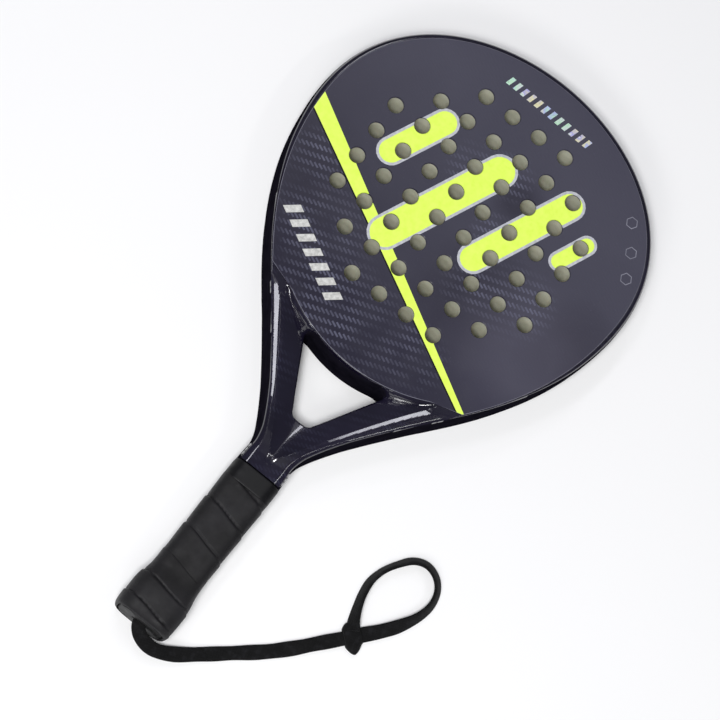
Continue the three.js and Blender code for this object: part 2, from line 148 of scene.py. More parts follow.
# ---------------------------------------------------------------- camera
def make_camera():
    """A long lens above the handle's end, with the racket leaning to the right."""
    right = Vector((0.775895, 0.597316, 0.202979))
    up = Vector((-0.630184, 0.748765, 0.205474))
    right.normalize()
    up = (up - right * up.dot(right)).normalized()
    camera = bpy.data.objects.new("camera", bpy.data.cameras.new("camera"))
    camera.data.lens = 137.5
    camera.data.sensor_width = 36
    turn = Matrix((right, up, right.cross(up))).transposed()
    camera.matrix_world = Matrix.Translation((-0.046203, -0.513930, 1.713274)) @ turn.to_4x4()
    bpy.context.scene.collection.objects.link(camera)
    bpy.context.scene.camera = camera


# ---------------------------------------------------------------- plane geometry
def bezier(points, steps):
    t = np.linspace(0, 1, steps + 1)[:, None]
    a, b, c, d = (np.array(p, float) for p in points)
    return (1 - t) ** 3 * a + 3 * (1 - t) ** 2 * t * b + 3 * (1 - t) * t**2 * c + t**3 * d


def normals_of(line, closed=False):
    """Unit normals to the right of the way along a line."""
    if closed:
        step = np.roll(line, -1, 0) - np.roll(line, 1, 0)
    else:
        step = np.gradient(line, axis=0)
    step /= np.linalg.norm(step, axis=1)[:, None]
    return np.stack([step[:, 1], -step[:, 0]], 1)


def offset(line, by, closed=False):
    return line + normals_of(line, closed) * by


def distance(points, line):
    """Distance of each point from a line of straight pieces."""
    best = np.full(len(points), 1e9)
    for a, b in zip(line[:-1], line[1:]):
        along = b - a
        t = np.clip(((points - a) @ along) / (along @ along), 0, 1)
        best = np.minimum(best, np.linalg.norm(points - a - t[:, None] * along, axis=1))
    return best


def inside(points, loop):
    """Which points lie inside a closed loop."""
    x, y = points[:, 0], points[:, 1]
    result = np.zeros(len(points), bool)
    for (x1, y1), (x2, y2) in zip(loop, np.roll(loop, -1, 0)):
        if y1 != y2:
            crosses = (y1 > y) != (y2 > y)
            result ^= crosses & (x < (x2 - x1) * (y - y1) / (y2 - y1) + x1)
    return result


def closed(loop):
    """The loop as a line that comes back to its first point."""
    return np.vstack([loop, loop[:1]])


def mirrored(line):
    return line[::-1] * (-1, 1)


def arc(radius, half_angle, steps):
    """Points of the bridge's circle from its right end to its left end."""
    angle = np.linspace(half_angle, -half_angle, steps + 1)
    return HEAD_CENTRE + radius * np.stack([np.sin(angle), -np.cos(angle)], 1)


def circle(centre, radius, sides):
    angle = 2 * math.pi * np.arange(sides) / sides
    return centre + radius * np.stack([np.cos(angle), np.sin(angle)], 1)


def rounded(corners, steps=7):
    """A loop through (point, radius) corners, each rounded to its radius."""
    loop = []
    points = [np.array(p, float) for p, _ in corners]
    for k, (corner, radius) in enumerate(corners):
        before, at, after = points[k - 1], points[k], points[(k + 1) % len(points)]
        if radius == 0:
            loop.append(at)
            continue
        u, v = (before - at) / np.linalg.norm(before - at), (after - at) / np.linalg.norm(after - at)
        half = math.acos(np.clip(u @ v, -1, 1)) / 2
        middle = at + (u + v) / np.linalg.norm(u + v) * radius / math.sin(half)
        first, last = at + u * radius / math.tan(half), at + v * radius / math.tan(half)
        for s in np.linspace(0, 1, steps + 1):
            way = (first - middle) * (1 - s) + (last - middle) * s
            loop.append(middle + way / np.linalg.norm(way) * radius)
    return np.array(loop)


def resampled(loop, step):
    """A closed loop with its points evenly spaced, about a step apart."""
    return resampled_line(closed(loop), step)[:-1]


def resampled_line(line, step):
    """An open line with its points evenly spaced."""
    run = np.concatenate([[0], np.cumsum(np.linalg.norm(np.diff(line, axis=0), axis=1))])
    at = np.linspace(0, run[-1], int(run[-1] / step) + 1)
    return np.stack([np.interp(at, run, line[:, k]) for k in (0, 1)], 1)


def hole_centres():
    steps = np.arange(HOLE_ROWS) - (HOLE_ROWS - 1) / 2
    turn = np.array([[math.cos(PATTERN_TURN), math.sin(PATTERN_TURN)],
                     [-math.sin(PATTERN_TURN), math.cos(PATTERN_TURN)]])
    places = [(a, b) for a in steps for b in steps if abs(a) + abs(b) <= HOLE_LIMIT]
    return PATTERN_CENTRE + HOLE_PITCH * np.array(places) @ turn


def outline_side(steps):
    """The racket's right side from the tip to the neck's end."""
    parts = [bezier(c, n) for c, n in ((TIP_CURVE, steps), (FLANK_CURVE, steps), (ARM_CURVE, steps // 2))]
    neck = [(NECK_HALF, y) for y in np.linspace(NECK_Y, NECK_END, 5)[1:]]
    return np.vstack([parts[0], parts[1][1:], parts[2][1:], neck])


def drawn_in(side):
    """The side's outline with its flank and arm a little inside the frame's."""
    return offset(side, np.interp(side[:, 1], *FLANK_INSET)[:, None])


def face_loop(inset):
    """The edge of the face, a loop from the tip round the right side."""
    side = np.vstack([bezier(TIP_CURVE, 44), bezier(FLANK_CURVE, 60)[1:]])
    side = offset(side, inset)
    corner = FACE_CORNER
    side = side[side[:, 1] > corner[1] + 0.004]
    radius = FACE_EDGE_RADIUS - (inset - RIM)
    bottom = arc(radius, math.asin(0.0565 / FACE_EDGE_RADIUS), 48)
    return np.vstack([mirrored(side)[:-1], side, [corner], bottom, [corner * (-1, 1)]])


def nose_edge(x):
    """How far down the bridge's nose comes, across the racket."""
    return NOSE_Y + NOSE_BEND * x**2


def opening_loop():
    """The throat opening: a triangle with its corners rounded, under the bridge's nose."""
    across = np.linspace(-0.0245, 0.0245, 25)
    top = np.stack([across, nose_edge(across)], 1)
    corners = [((0.0340, -0.0160), 0.0030), ((0.0063, -0.066), 0.0045), ((-0.0063, -0.066), 0.0045),
               ((-0.0340, -0.0160), 0.0030)]
    return resampled(np.vstack([rounded(corners), top]), 0.0011)


SIDE = drawn_in(outline_side(150))
OUTLINE = np.vstack([mirrored(SIDE)[:-1], SIDE])
OPENING = opening_loop()
RIDGE = bezier(RIDGE_CURVE, 40)


# ---------------------------------------------------------------- meshes
def triangulate(loops, lines=(), extra=()):
    """Triangles over loops and lines whose points are all kept. Plane points in metres."""
    points, edges = [], []
    for loop in loops:
        first = len(points)
        points += list(loop)
        edges += [(first + k, first + (k + 1) % len(loop)) for k in range(len(loop))]
    for line in lines:
        first = len(points)
        points += list(line)
        edges += [(first + k, first + k + 1) for k in range(len(line) - 1)]
    points += list(extra)
    made = delaunay_2d_cdt([Vector(p) * 1000 for p in points], edges, [], 0, 1e-4)
    plane = np.array([tuple(v) for v in made[0]]) / 1000
    return plane, np.array([tuple(f) for f in made[2]])


def new_object(name, vertices, faces, materials, indices=None, sharp=40):
    mesh = bpy.data.meshes.new(name)
    mesh.from_pydata([tuple(v) for v in vertices], [], [tuple(int(i) for i in f) for f in faces])
    mesh.update()
    work = bmesh.new()
    work.from_mesh(mesh)
    bmesh.ops.recalc_face_normals(work, faces=work.faces)
    work.to_mesh(mesh)
    work.free()
    mesh.polygons.foreach_set("use_smooth", [True] * len(mesh.polygons))
    mesh.set_sharp_from_angle(angle=math.radians(sharp))
    for material in materials:
        mesh.materials.append(material)
    if indices is not None:
        mesh.polygons.foreach_set("material_index", [int(i) for i in indices])
    made = bpy.data.objects.new(name, mesh)
    bpy.context.scene.collection.objects.link(made)
    return made


def swept(rings, closed_ends=True):
    """Vertices and faces through a row of rings of points."""
    count = len(rings[0])
    faces = []
    for k in range(len(rings) - 1):
        for i in range(count):
            j = (i + 1) % count
            faces.append((k * count + i, k * count + j, (k + 1) * count + j, (k + 1) * count + i))
    if closed_ends:
        faces.append(tuple(range(count))[::-1])
        faces.append(tuple(range((len(rings) - 1) * count, len(rings) * count)))
    return np.vstack(rings), faces


def free_edges(triangles):
    """The edges that only one triangle has, in that triangle's sense."""
    seen = {}
    for a, b, c in triangles:
        for e in ((a, b), (b, c), (c, a)):
            seen[e] = True
    return [e for e in seen if (e[1], e[0]) not in seen]


# ---------------------------------------------------------------- the frame's shape
def smooth_max(a, b, soft):
    """The larger of two heights, with a soft change from one to the other."""
    gap = np.clip(0.5 + 0.5 * (a - b) / soft, 0, 1)
    return b + (a - b) * gap + soft * gap * (1 - gap)


def past_ridge(points):
    """How far points lie past the nearer arm's ridge towards the opening."""
    folded = np.abs(points) * (1, 0) + points * (0, 1)
    near = distance(folded, RIDGE)
    ridge_x = np.interp(folded[:, 1], RIDGE[::-1, 1], RIDGE[::-1, 0])
    return np.where((folded[:, 0] < ridge_x) & (folded[:, 1] < RIDGE[0, 1]), near, -near)


def full_half(y):
    """Half of the frame's thickness before its bevels: it thins into the neck."""
    return np.interp(y, (NECK_END, -0.098, -0.084, -0.066), (0.0153, 0.0161, 0.0178, MID_Z))


def half_height(points):
    """Half of the frame's thickness over points of its plane."""
    y = points[:, 1]
    edge = distance(points, OUTLINE)
    past = past_ridge(points)
    full = full_half(y)
    outer_width = np.interp(y, *OUTER_WIDTH)
    inner_width = np.interp(y, *INNER_WIDTH)
    arm_fade = np.clip((-0.0015 - y) / 0.006, 0, 1)
    flat = np.maximum(edge, np.minimum(outer_width, OUTER_BREAK))
    outer = BEVEL_SLOPE * np.clip(outer_width - flat, 0, None) * arm_fade
    outer += OUTER_BREAK_SLOPE * np.clip(np.minimum(outer_width, OUTER_BREAK) - edge, 0, None) * arm_fade
    inner = BEVEL_SLOPE * 1.2 * np.clip(past + inner_width, 0, inner_width) * arm_fade
    arm = full - outer - inner - RECESS_SLOPE * np.clip(past, 0, None)
    beyond = np.linalg.norm(points - HEAD_CENTRE, axis=1) - FACE_EDGE_RADIUS
    aside = np.abs(points[:, 0])
    tip = np.hypot(aside, HEAD_CENTRE[1] - nose_edge(aside)) - FACE_EDGE_RADIUS
    reach = np.where(aside < 0.0255, tip, np.interp(aside, (0.0255, 0.034), (0.0015, 0.0055)))
    wall = np.interp(aside, (0.0150, 0.0310), (0.0062, 0.0008))
    lead = np.clip((np.clip(beyond, 0, None) + NOSE_LEAD) / (reach + NOSE_LEAD), 0, 1)
    crown = np.sqrt(1 - (NOSE_LEAD / (reach + NOSE_LEAD)) ** 2)
    nose = np.clip(wall + (MID_Z - wall) * np.sqrt(1 - lead**2) / crown, 0.0006, MID_Z)
    floor = np.minimum(0.0120 + (-0.066 - y) * 0.095, full - 0.0004)
    floor = np.where(y < -0.056, floor, 0)
    body = smooth_max(smooth_max(arm, nose, 0.0007), floor, 0.0030)
    width = np.interp(y, (-0.106, -0.080, -0.050, -0.010), (0.0075, 0.0045, 0.0030, 0.0011))
    width = np.where(y > -0.010, RIM - 0.0001 - np.interp(y, *FLANK_INSET), width)
    curl = np.clip(1 - edge / width, 0, 1)
    bulge = np.clip(1 - edge / np.minimum(SIDE_BULGE, width * 0.7), 0, 1)
    curve = RIM_DROP * (1 - np.sqrt(1 - curl**2)) + BULGE_DROP * (1 - np.sqrt(1 - bulge**2))
    body = np.minimum(body, full - curve)
    shut = np.clip(1 - distance(points, closed(OPENING)) / OPENING_EASE, 0, 1)
    return np.maximum(body - OPENING_EASE * (1 - np.sqrt(1 - shut**2)), 0.0005)


def grid_points(step):
    """A fine grid of points over the arms and the throat, clear of every edge and row."""
    xs = np.arange(-0.076, 0.076, step)
    rows = np.arange(NECK_END, 0.004, step * 0.87)
    points = np.array([(x + (k % 2) * step / 2, y) for k, y in enumerate(rows) for x in xs])
    points = points[inside(points, OUTLINE) & ~inside(points, face_loop(RIM)) & ~inside(points, OPENING)]
    away = distance(points, OUTLINE)
    clear = away > 0.0026
    clear &= distance(points, closed(face_loop(RIM))) > 0.0006
    clear &= distance(points, closed(OPENING)) > 0.0060
    past = past_ridge(points)
    clear &= np.abs(past) > 0.0008
    clear &= np.abs(past + np.interp(points[:, 1], *INNER_WIDTH)) > 0.0004
    clear &= np.abs(away - np.interp(points[:, 1], *OUTER_WIDTH)) > 0.0004
    clear &= points[:, 1] > NECK_END + 0.0005
    return points[clear]


def frame_shell():
    """The moulded frame: head rim, arms, bridge, wedge and neck in one lacquered skin."""
    face = face_loop(RIM)
    edge_rows = [offset(OUTLINE, d) for d in (0.00012, 0.0004, 0.0008, 0.0012, 0.0016, 0.0028, 0.0037, RIM)]
    edge_rows = [row[row[:, 1] > NECK_END] for row in edge_rows]
    opening_steps = (0.0001, 0.00035, 0.0008, 0.0014, 0.0022, 0.0034, 0.0050)
    opening_rows = [offset(OPENING, -d, True) for d in opening_steps]
    ridges = []
    for side in (-1, 1):
        rows = [offset(RIDGE, by) for by in (-0.0005, 0, 0.0005)]
        rows.append(offset(RIDGE, -np.interp(RIDGE[:, 1], *INNER_WIDTH)[:, None]))
        arm = SIDE[SIDE[:, 1] < 0.0]
        rows.append(offset(arm, np.interp(arm[:, 1], *OUTER_WIDTH)[:, None]))
        rows.append(offset(arm, OUTER_BREAK))
        for row in rows:
            row = resampled_line(row, 0.0007) * (side, 1)
            ridges.append(row[inside(row, OUTLINE) & ~inside(row, face) & ~inside(row, OPENING)])
    extra = np.vstack([*edge_rows[:-1], *opening_rows, grid_points(0.0007)])
    extra = extra[~inside(extra, face)]
    extra = extra[distance(extra, closed(face)) > 0.00008]
    plane, triangles = triangulate([OUTLINE, face, OPENING], [], np.vstack([extra, *ridges]))
    middle = plane[triangles].mean(1)
    kept = inside(middle, OUTLINE) & ~inside(middle, face) & ~inside(middle, OPENING)
    triangles = triangles[kept]
    half = half_height(plane)
    on_face = distance(plane, closed(face)) < 1e-6
    half[on_face & (np.linalg.norm(plane - HEAD_CENTRE, axis=1) < FACE_EDGE_RADIUS + 1e-5)] = MID_Z
    count = len(plane)
    vertices = [np.column_stack([plane, MID_Z + half]), np.column_stack([plane, MID_Z - half])]
    faces = [tuple(t) for t in triangles] + [(c + count, b + count, a + count) for a, b, c in triangles]
    inward = seat_points(plane, face)
    levels = (MID_Z - SEAT_DEPTH, -(MID_Z - SEAT_DEPTH))
    vertices += [np.column_stack([plane, np.full(count, MID_Z + levels[0])])]
    vertices += [np.column_stack([inward, np.full(count, MID_Z + levels[0])])]
    vertices += [np.column_stack([inward, np.full(count, MID_Z + levels[1])])]
    vertices += [np.column_stack([plane, np.full(count, MID_Z + levels[1])])]
    for a, b in free_edges(triangles):
        layers = [0, 2, 3, 4, 5, 1] if on_face[a] and on_face[b] else [0, 1]
        for upper, lower in zip(layers[:-1], layers[1:]):
            faces.append((b + upper * count, a + upper * count, a + lower * count, b + lower * count))
    vertices = np.vstack(vertices)
    made = trimmed("moulded_frame", vertices, faces, [MATERIALS["lacquer"], MATERIALS["side"]])
    for polygon in made.data.polygons:
        polygon.material_index = int(abs(polygon.normal.z) < SIDE_STEEPNESS)
    shade_by_height(made)
    return made


def shade_by_height(made):
    """Shading normals from the height itself, so that highlights run evenly over the facets."""
    mesh = made.data
    places = np.array([tuple(v.co) for v in mesh.vertices])
    normals = np.array([tuple(v.normal) for v in mesh.vertices])
    plane, up = places[:, :2], np.where(places[:, 2] > MID_Z, 1, -1)
    height = half_height(plane)
    inner = (distance(plane, OUTLINE) > 0.00010) & (distance(plane, closed(OPENING)) > 0.00009)
    inner &= np.abs(np.abs(places[:, 2] - MID_Z) - height) < 0.00002
    where = np.nonzero(inner)[0]
    slopes = []
    for step in ((0.00006, 0), (0, 0.00006)):
        rise = half_height(plane[where] + step) - half_height(plane[where] - np.array(step))
        slopes.append(rise / 0.00012)
    true = np.column_stack([-slopes[0], -slopes[1], up[where]])
    normals[where] = true / np.linalg.norm(true, axis=1)[:, None]
    corner_vertex = np.array([loop.vertex_index for loop in mesh.loops])
    corners = np.array([tuple(c.vector) for c in mesh.corner_normals])
    chosen = np.zeros(len(places), bool)
    chosen[where] = True
    steep = np.einsum("ij,ij->i", corners, normals[corner_vertex]) > 0.75
    use = chosen[corner_vertex] & steep
    corners[use] = normals[corner_vertex[use]]
    mesh.normals_split_custom_set([tuple(c) for c in corners])


def seat_points(plane, face):
    """Each point of the face's edge moved in to the far side of the seat that the face rests on."""
    target = plane.copy()
    normal = normals_of(face, True)
    for at, way in zip(face, normal):
        low = at[1] < FACE_CORNER[1]
        near = np.linalg.norm(plane - at, axis=1) < 1e-6
        target[near] = at + way * (FACE_EDGE_RADIUS - CORE_EDGE_RADIUS if low else TUBE_WIDTH - RIM)
    return target


def trimmed(name, vertices, faces, materials, indices=None, sharp=40):
    """A new object without the vertices that no face uses."""
    used = np.unique(np.concatenate([np.array(f) for f in faces]))
    place = np.full(len(vertices), -1)
    place[used] = np.arange(len(used))
    return new_object(name, vertices[used], [tuple(place[list(f)]) for f in faces], materials, indices, sharp)


# ---------------------------------------------------------------- faces and core
LIME_BARS = (
    ((-0.064, 0.112), (-0.048, 0.151), 0.0080), ((-0.034, 0.066), (0.000, 0.149), 0.0100),
    ((0.021, 0.090), (0.050, 0.161), 0.0085), ((0.066, 0.126), (0.0745, 0.147), 0.0050),
)
LIME_EDGE = 0.0019
STRIPE = ((-0.1300, 0.1069), (-0.1300, 0.1199), (0.0850, 0.0008), (0.0850, -0.0030))
STRIPE_LINE = 0.0011
HEXAGONS = ((0.0886, 0.1795), (0.1002, 0.1626), (0.1080, 0.1463))
HEXAGON_RADIUS = 0.0043
HEXAGON_LINE = 0.0006


def capsule(start, end, radius, steps=10):
    start, end = np.array(start, float), np.array(end, float)
    way = (end - start) / np.linalg.norm(end - start)
    turn = math.atan2(way[1], way[0])
    angle = np.linspace(-math.pi / 2, math.pi / 2, steps + 1) + turn
    cap = radius * np.stack([np.cos(angle), np.sin(angle)], 1)
    return np.vstack([end + cap, start - cap])


def slanted_bars(start, end, count, width, height, tipward_painted_reflection):
    """A row of equal leaning bars, as loops."""
    start, end = np.array(start, float), np.array(end, float)
    along = (end - start) / np.linalg.norm(end - start)
    up = np.array((-along[1], along[0]))
    made = []
    for k in range(count):
        corner = start + (end - start - along * width) * k / (count - 1)
        made.append(np.array([corner, corner + along * width, corner + along * (width + tipward_painted_reflection) + up * height,
                              corner + along * tipward_painted_reflection + up * height]))
    return made


SILVER_BARS = slanted_bars((-0.0955, 0.0368), (-0.0363, 0.0052), 7, 0.0052, 0.0110, 0.0040)
RAINBOW_BARS = slanted_bars((-0.0340, 0.2000), (0.0340, 0.1995), 12, 0.0030, 0.0062, 0.0016)
# RING_AND_EDGE_HIGHLIGHT is the pale finish of the printed hexagon rings and of the painted highlight along
# the face's edge
LAMINATE, LIME, EDGE, LINE, FOIL, RAINBOW, RING_AND_EDGE_HIGHLIGHT = range(7)


def stripe_side(points, a, b):
    """Signed distance to the left of the line from a to b."""
    a, b = np.array(a), np.array(b)
    way = (b - a) / np.linalg.norm(b - a)
    return (points - a) @ np.array((-way[1], way[0]))


def painted(points):
    """Which finish each point of the front face has."""
    finish = np.full(len(points), LAMINATE)
    low, high = stripe_side(points, STRIPE[0], STRIPE[3]), stripe_side(points, STRIPE[1], STRIPE[2])
    finish[(low > -STRIPE_LINE) & (high < 0)] = LINE
    finish[(low > 0) & (high < 0)] = LIME
    for start, end, radius in LIME_BARS:
        off = distance(points, np.array([start, end]))
        finish[off < radius + LIME_EDGE] = EDGE
        finish[off < radius] = LIME
    for bars, kind in ((SILVER_BARS, FOIL), (RAINBOW_BARS, RAINBOW)):
        for bar in bars:
            finish[inside(points, bar)] = kind
    for centre in HEXAGONS:
        outer, inner = (circle(np.array(centre), HEXAGON_RADIUS - t, 6) for t in (0, HEXAGON_LINE))
        finish[inside(points, outer) & ~inside(points, inner)] = RING_AND_EDGE_HIGHLIGHT
    return finish


def paint_loops():
    """The edges of everything painted on the front face."""
    loops = [np.array([STRIPE[0], STRIPE[1], STRIPE[2], STRIPE[3]])]
    drop = np.array((-0.45, -0.89)) * STRIPE_LINE
    loops.append(np.array([np.array(STRIPE[0]) + drop, np.array(STRIPE[3]) + drop, STRIPE[3], STRIPE[0]]))
    for start, end, radius in LIME_BARS:
        loops += [capsule(start, end, radius), capsule(start, end, radius + LIME_EDGE)]
    loops += SILVER_BARS + RAINBOW_BARS
    for centre in HEXAGONS:
        loops += [circle(np.array(centre), HEXAGON_RADIUS - t, 6) for t in (0, HEXAGON_LINE)]
    return loops


def face_laminate(name, outward, finishes):
    """One face: a drilled skin with eased edges, its outside at the frame's surface."""
    outer = [face_loop(RIM + d) for d in (0.00045, 0.00022, 0.0001, 0.0001)]
    depths = (0, 0.00008, 0.0003, SKIN)
    holes = [[circle(c, HOLE_RADIUS + d, 40) for c in hole_centres()] for d in (HOLE_EASE, 0.00012, 0, 0)]
    paint = paint_loops() if len(finishes) > 1 else []
    plane, triangles = triangulate([outer[0], *holes[0], *paint])
    middle = plane[triangles].mean(1)
    kept = inside(middle, outer[0])
    for hole in holes[0]:
        kept &= ~inside(middle, hole)
    triangles, middle = triangles[kept], middle[kept]
    level = MID_Z + outward * MID_Z
    points = [np.column_stack([plane, np.full(len(plane), level)])]
    faces = [tuple(t) for t in triangles]
    finish = list(painted(middle)) if paint else [LAMINATE] * len(triangles)
    count = len(plane)
    for chain, edge in [(outer, True), *((list(rings), False) for rings in zip(*holes))]:
        first = count
        for ring, depth in zip(chain, depths):
            points.append(np.column_stack([ring, np.full(len(ring), level - outward * depth)]))
            count += len(ring)
        sides = len(chain[0])
        colours = painted(chain[0]) if paint and not edge else [LAMINATE] * sides
        for k in range(len(chain) - 1):
            for i in range(sides):
                j = (i + 1) % sides
                faces.append((first + k * sides + i, first + k * sides + j,
                              first + (k + 1) * sides + j, first + (k + 1) * sides + i))
                # The first band of the front face's eased outer edge is painted pale: a painted highlight
                # along the edge
                painted_edge_highlight = edge and k == 0 and paint
                finish.append(RING_AND_EDGE_HIGHLIGHT if painted_edge_highlight else colours[i] if k < 2 else LAMINATE)
    made = new_object(name, np.vstack(points), faces, finishes, finish, 50)
    work = bmesh.new()
    work.from_mesh(made.data)
    bmesh.ops.remove_doubles(work, verts=work.verts, dist=1e-6)
    for face in work.faces:
        face.smooth = abs(face.normal.z) < 0.9999
    work.to_mesh(made.data)
    work.free()
    return made


def foam_core():
    """The drilled core, with round walls that show through the holes."""
    low, high = CORE_LOW.z, CORE_HIGH.z
    edge = face_loop(TUBE_WIDTH + 0.0003)
    edge = edge[edge[:, 1] > HEAD_CENTRE[1] - CORE_EDGE_RADIUS + 0.0002]
    edge = resampled(edge, 0.004)
    holes = [circle(c, HOLE_RADIUS + 0.00005, 40) for c in hole_centres()]
    plane, triangles = triangulate([edge, *holes])
    middle = plane[triangles].mean(1)
    kept = inside(middle, edge)
    for hole in holes:
        kept &= ~inside(middle, hole)
    triangles = triangles[kept]
    count = len(plane)
    levels = np.linspace(high, low, 9)
    points = [np.column_stack([plane, np.full(count, z)]) for z in levels]
    last = (len(levels) - 1) * count
    faces = [tuple(t) for t in triangles] + [(c + last, b + last, a + last) for a, b, c in triangles]
    for a, b in free_edges(triangles):
        for k in range(len(levels) - 1):
            faces.append((b + k * count, a + k * count, a + (k + 1) * count, b + (k + 1) * count))
    return trimmed("drilled_core", np.vstack(points), faces, [MATERIALS["foam"]], None, 50)


# ---------------------------------------------------------------- handle
def oblong(half, angle):
    """A point of the handle's rounded oblong section, by its angle from +X."""
    width, height = half
    corner = min(width, height) * 0.46
    cos, sin = math.cos(angle), math.sin(angle)
    flat = (width - corner, height - corner)
    power = 5.0
    reach = (abs(cos / width) ** power + abs(sin / height) ** power) ** (-1 / power)
    soft = np.array((cos, sin)) * reach
    return soft * 0.5 + oblong_edge(flat, corner, cos, sin) * 0.5


def oblong_edge(flat, corner, cos, sin):
    """Where a ray meets a box with round corners."""
    low, high = 0.0, flat[0] + flat[1] + 2 * corner
    for _ in range(24):
        middle = (low + high) / 2
        x, z = abs(cos) * middle, abs(sin) * middle
        out = math.hypot(max(x - flat[0], 0), max(z - flat[1], 0))
        if out > corner:
            high = middle
        else:
            low = middle
    return np.array((cos, sin)) * low


def handle_rings(stations, sides, swell):
    """Rings of the handle's section along Y; swell(y, turn) gives how far out each point lies."""
    rings = []
    shapes = [2 * math.pi * k / sides for k in range(sides)]
    base = [oblong(SHELL_HALF, a) for a in shapes]
    outward = []
    for k in range(sides):
        step = base[(k + 1) % sides] - base[k - 1]
        outward.append(np.array((step[1], -step[0])) / np.linalg.norm(step))
    for y in stations:
        ring = []
        for k in range(sides):
            x, z = base[k] + outward[k] * swell(y, k / sides)
            ring.append((x, y, MID_Z + z))
        rings.append(np.array(ring))
    return rings


def cap_swell(y):
    """How far the cap under the grip swells out of the handle's section."""
    ys = [c[0] for c in reversed(CAP_PROFILE)] + [CAP_PROFILE[0][0] + 0.006]
    by = [c[1] for c in reversed(CAP_PROFILE)] + [0]
    return float(np.interp(y, ys, by))


def wound_grip():
    """A soft strip wound up the handle: each turn laps the one before it with a rounded edge."""
    def swell(y, turn):
        smooth = np.mean([cap_swell(y + d) for d in (-0.004, -0.002, 0, 0.002, 0.004)])
        turns = float(np.interp(-y, [-seam for seam in GRIP_SEAMS], range(len(GRIP_SEAMS))))
        phase = (turns + turn - 0.25) % 1.0
        lap = 0.00055 * (1 - phase)
        groove = 0.0010 * math.exp(-((min(phase, 1 - phase) * 0.0205) / 0.0007) ** 2)
        end = 0.0022 * (1 - math.sqrt(1 - min(1, max(0, (GRIP_END + 0.0040 - y) / 0.0040)) ** 2))
        return GRIP_CLEAR + GRIP_THICKNESS + smooth + lap - groove - end

    top, bottom = COLLAR_LOW.y + 0.003, GRIP_END
    stations = np.concatenate([np.arange(top, bottom + 0.0040, -0.0007),
                               np.linspace(bottom + 0.0040, bottom, 9)])
    outer = handle_rings(stations, 160, swell)
    inner = handle_rings((bottom, bottom + 0.004, top), 160, lambda y, turn: GRIP_CLEAR + cap_swell(y) * 0.98)
    vertices, faces = swept([*outer, *inner], False)
    count = 160
    last = (len(outer) + len(inner) - 1) * count
    faces += [(last + i, last + (i + 1) % count, (i + 1) % count, i) for i in range(count)]
    return new_object("wound_grip", vertices, faces, [MATERIALS["grip"]], None, 60)


def finishing_tape():
    """The tape round the top of the grip, with its loose end lapped over the front."""
    top, bottom = COLLAR_HIGH.y, COLLAR_LOW.y

    def swell(y, turn):
        start, end = (1 / (1 + math.exp(-((turn - at) * 420))) for at in (0.14, 0.37))
        lapped = start * (1 - end)
        near = min(top - y, y - bottom)
        ease = 0.0005 * (1 - math.sqrt(1 - (1 - min(1, near / 0.0008)) ** 2))
        crease = 0.00016 * math.sin(y * 900 + turn * 31) * math.exp(-(((turn - 0.45) / 0.08) ** 2))
        return 0.0023 + 0.00028 * lapped - ease + crease

    stations = np.concatenate([np.linspace(top, top - 0.0008, 6),
                               np.linspace(top - 0.0016, bottom + 0.0016, 10),
                               np.linspace(bottom + 0.0008, bottom, 6)])
    outer = handle_rings(stations, 160, swell)
    inner = handle_rings((bottom, top), 160, lambda y, turn: GRIP_CLEAR)
    vertices, faces = swept([*outer, *inner], False)
    last = (len(outer) + 1) * 160
    faces += [(last + i, last + (i + 1) % 160, (i + 1) % 160, i) for i in range(160)]
    return new_object("finishing_tape", vertices, faces, [MATERIALS["tape"]], None, 60)


def end_cap():
    """The moulded butt cap, whose end shows below the grip, with the strap's slot in it."""
    rings = []
    profile = ((-0.203, 0.0022), (-0.209, 0.0027), (-0.2225, 0.0029), (-0.2252, 0.0022), (-0.2268, 0.0012))
    for y, by in profile:
        rings += handle_rings((y,), 96, lambda _, turn, by=by: by)
    end = handle_rings((BUTT_Y,), 96, lambda _, turn: 0.0002)[0]
    rings.append(end)
    slot = []
    for x, _, z in end:
        angle = math.atan2(z - MID_Z, x)
        reach = 1 / max(abs(math.cos(angle)) / 0.0060, abs(math.sin(angle)) / 0.0018)
        slot.append((reach * math.cos(angle), BUTT_Y, MID_Z + reach * math.sin(angle)))
    rings.append(np.array(slot))
    rings.append(np.array(slot) + (0, 0.003, 0))
    vertices, faces = swept(rings, False)
    return new_object("end_cap", vertices, faces, [MATERIALS["cap"]], None, 35)


# ---------------------------------------------------------------- wrist strap
def catmull_rom(points, samples):
    """A smooth line through points, with some samples between each two."""
    padded = np.vstack([2 * points[0] - points[1], points, 2 * points[-1] - points[-2]])
    line = []
    for k in range(1, len(padded) - 2):
        a, b, c, d = padded[k - 1 : k + 3]
        for s in np.arange(samples) / samples:
            bend, twist = 2 * a - 5 * b + 4 * c - d, 3 * b - a - 3 * c + d
            line.append(0.5 * (2 * b + (c - a) * s + bend * s**2 + twist * s**3))
    line.append(padded[-2])
    return np.array(line)


def strap_section():
    """Half of the strap's width and thickness round its section: a soft, slightly crowned oblong."""
    angle = 2 * math.pi * np.arange(28) / 28
    cos, sin = np.cos(angle), np.sin(angle)
    across = np.sign(cos) * np.abs(cos) ** 0.55 * STRAP_WIDTH / 2
    thick = np.sign(sin) * np.abs(sin) ** 0.80 * STRAP_THICKNESS / 2
    return across, thick


